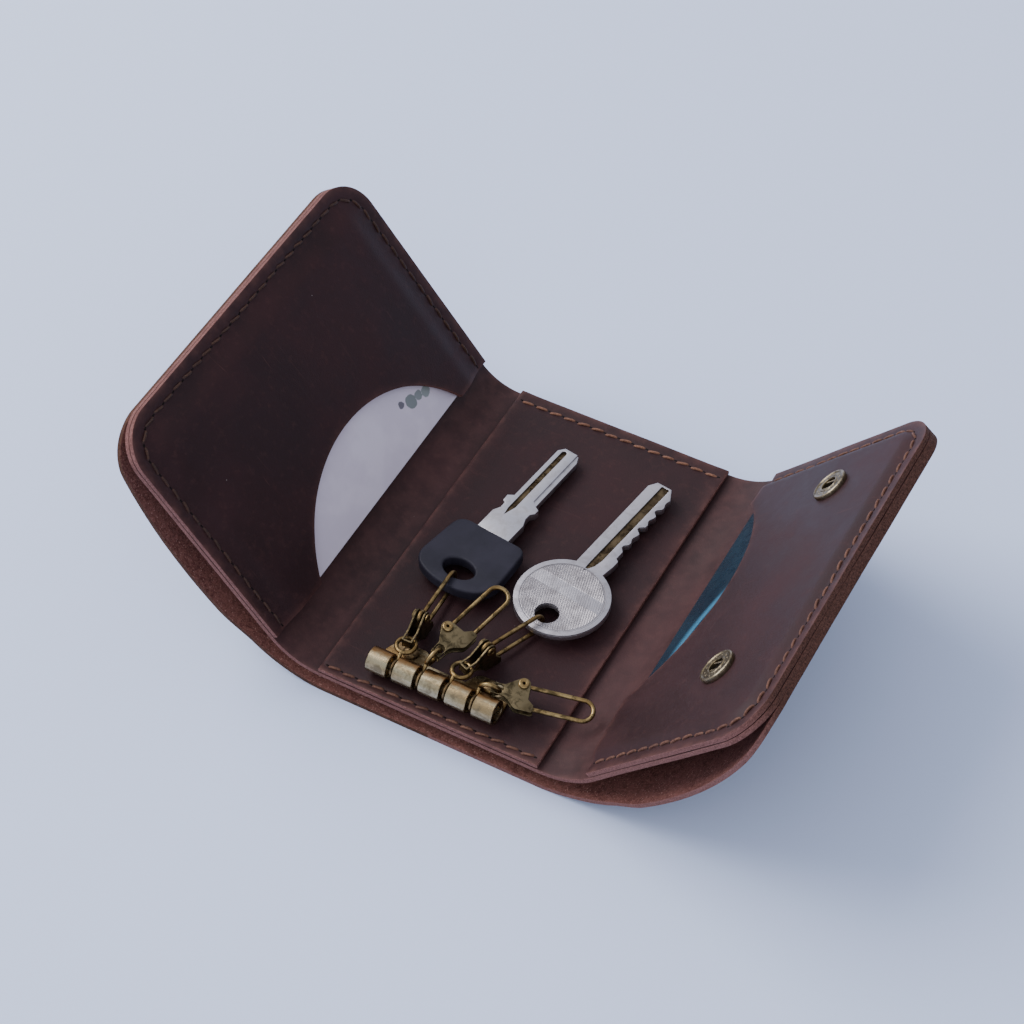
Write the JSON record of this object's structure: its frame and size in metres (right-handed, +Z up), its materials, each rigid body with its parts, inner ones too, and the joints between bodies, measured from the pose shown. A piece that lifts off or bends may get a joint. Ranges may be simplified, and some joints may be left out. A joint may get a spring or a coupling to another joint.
{
  "type": "key organiser",
  "caption": "Folding leather key organiser lying open, with a hook bar and keys on the middle panel, card pockets on both raised flaps and snap fasteners.",
  "frame": {"origin": "middle of the flat underside of the centre panel, on the surface that it rests on", "axes": "+X along the hook bar towards the flap with the snap sockets, +Y from the hook bar along the keys towards the stitched far edge, +Z up"},
  "size_m": [0.1648, 0.1, 0.0661],
  "materials": {
    "cover_leather": "waxed pull-up leather outside, brushed suede inside",
    "liner_leather": "waxed pull-up leather",
    "pocket_leather": "waxed pull-up leather, raw pinkish edges",
    "thread": "waxed thread",
    "antique_brass": "antiqued, dark in the recesses and rubbed bright on the edges",
    "dark_brass": "antiqued",
    "black_plastic": "satin",
    "nickel": "nickel plated",
    "key_steel": "stamped, worn",
    "white_card": "satin",
    "blue_card": "gloss"
  },
  "bodies": {
    "centre": {"cover_center": "cover_leather", "liner_center": "liner_leather", "key_panel": "pocket_leather", "cover_fold_left": "cover_leather", "cover_fold_right": "cover_leather", "liner_fold_left": "liner_leather", "liner_fold_right": "liner_leather", "panel_seam_near": "thread", "panel_seam_far": "thread", "key_bar": "antique_brass", "bar_rod": "dark_brass", "bar_rivet_1": "dark_brass", "bar_rivet_2": "dark_brass"},
    "left_flap": {"liner_left": "liner_leather", "cover_left": "cover_leather", "left_pocket": "pocket_leather", "left_seam": "thread", "snap_stud_1": "antique_brass", "snap_stud_2": "antique_brass"},
    "right_flap": {"liner_right": "liner_leather", "cover_right": "cover_leather", "right_pocket": "pocket_leather", "right_seam": "thread", "snap_socket_1": "antique_brass", "snap_socket_2": "antique_brass", "snap_cap_1": "antique_brass", "snap_cap_2": "antique_brass"},
    "left_card": {"left_card": "white_card"},
    "right_card": {"right_card": "blue_card"},
    "eye_1": {"hook_eye_1": "antique_brass"},
    "clip_1": {"hook_clip_1": "antique_brass", "hook_rivet_1": "antique_brass"},
    "bail_1": {"hook_bail_1": "antique_brass"},
    "eye_2": {"hook_eye_2": "antique_brass"},
    "clip_2": {"hook_clip_2": "antique_brass", "hook_rivet_2": "antique_brass"},
    "bail_2": {"hook_bail_2": "antique_brass"},
    "eye_3": {"hook_eye_3": "antique_brass"},
    "clip_3": {"hook_clip_3": "antique_brass", "hook_rivet_3": "antique_brass"},
    "bail_3": {"hook_bail_3": "antique_brass"},
    "eye_4": {"hook_eye_4": "antique_brass"},
    "clip_4": {"hook_clip_4": "antique_brass", "hook_rivet_4": "antique_brass"},
    "bail_4": {"hook_bail_4": "antique_brass"},
    "car_key": {"car_key_head": "black_plastic", "car_key_blade": "nickel"},
    "round_key": {"round_key": "key_steel"}
  },
  "joints": [
    {"name": "left_flap_hinge", "type": "hinge", "parent": "centre", "child": "left_flap", "pos_m": [-0.03266, 0, 0.0153], "axis": [0, 1, 0], "range_deg": [-54, 126], "deforming": ["cover_fold_left", "liner_fold_left"]},
    {"name": "right_flap_hinge", "type": "hinge", "parent": "centre", "child": "right_flap", "pos_m": [0.03199, 0, 0.0195], "axis": [0, -1, 0], "range_deg": [-48.2, 115], "deforming": ["cover_fold_right", "liner_fold_right"]},
    {"name": "left_card_slide", "type": "slide", "parent": "left_flap", "child": "left_card", "axis": [0.5878, 0, -0.809], "range_m": [0, 0.003]},
    {"name": "right_card_slide", "type": "slide", "parent": "right_flap", "child": "right_card", "axis": [-0.6665, 0, -0.7455], "range_m": [0, 0.003]},
    {"name": "hook_1_lift", "type": "hinge", "parent": "centre", "child": "eye_1", "pos_m": [-0.01195, -0.0437, 0.01255], "axis": [-1, 0, 0], "range_deg": [-150, 0]},
    {"name": "hook_1_swivel", "type": "hinge", "parent": "eye_1", "child": "clip_1", "pos_m": [-0.01203, -0.0379, 0.01443], "axis": [-0.0021, 0.061, 0.9981], "range_deg": [-2, 10]},
    {"name": "hook_1_bail", "type": "hinge", "parent": "clip_1", "child": "bail_1", "pos_m": [-0.0123, -0.03026, 0.01657], "axis": [-0.9994, -0.0349, 0], "range_deg": [-40, 0]},
    {"name": "hook_2_lift", "type": "hinge", "parent": "centre", "child": "eye_2", "pos_m": [-0.00485, -0.0437, 0.01255], "axis": [-1, 0, 0], "range_deg": [-140, 0]},
    {"name": "hook_2_swivel", "type": "hinge", "parent": "eye_2", "child": "clip_2", "pos_m": [-0.0043, -0.03837, 0.01531], "axis": [-0.9456, 0.2184, 0.2413], "range_deg": [-10, 2]},
    {"name": "hook_2_bail", "type": "hinge", "parent": "clip_2", "child": "bail_2", "pos_m": [-0.00494, -0.03054, 0.01646], "axis": [-0.2184, 0.1242, -0.9679], "range_deg": [-35, 0]},
    {"name": "hook_3_lift", "type": "hinge", "parent": "centre", "child": "eye_3", "pos_m": [0.00225, -0.0437, 0.01255], "axis": [-1, 0, 0], "range_deg": [-150, 0]},
    {"name": "hook_3_swivel", "type": "hinge", "parent": "eye_3", "child": "clip_3", "pos_m": [0.00309, -0.03806, 0.01441], "axis": [0.0268, 0.0681, 0.9973], "range_deg": [-6, 2]},
    {"name": "hook_3_bail", "type": "hinge", "parent": "clip_3", "child": "bail_3", "pos_m": [0.0059, -0.03092, 0.01645], "axis": [-0.9304, 0.3665, 0], "range_deg": [-40, 0]},
    {"name": "hook_4_lift", "type": "hinge", "parent": "centre", "child": "eye_4", "pos_m": [0.00935, -0.0437, 0.01255], "axis": [-1, 0, 0], "range_deg": [-140, 0]},
    {"name": "hook_4_swivel", "type": "hinge", "parent": "eye_4", "child": "clip_4", "pos_m": [0.01155, -0.03971, 0.01455], "axis": [-0.247, 0.9467, 0.2066], "range_deg": [-20, 2]},
    {"name": "hook_4_bail", "type": "hinge", "parent": "clip_4", "child": "bail_4", "pos_m": [0.01807, -0.0352, 0.01424], "axis": [-0.1637, 0.1693, -0.9719], "range_deg": [-35, 0]},
    {"name": "car_key_swing", "type": "hinge", "parent": "bail_1", "child": "car_key", "pos_m": [-0.01288, -0.01356, 0.01294], "axis": [0.0047, 0.0381, 0.9993], "range_deg": [-2, 16]},
    {"name": "round_key_swing", "type": "hinge", "parent": "bail_3", "child": "round_key", "pos_m": [0.01201, -0.01542, 0.01262], "axis": [0.0039, 0.0276, 0.9996], "range_deg": [-12, 2]}
  ]
}
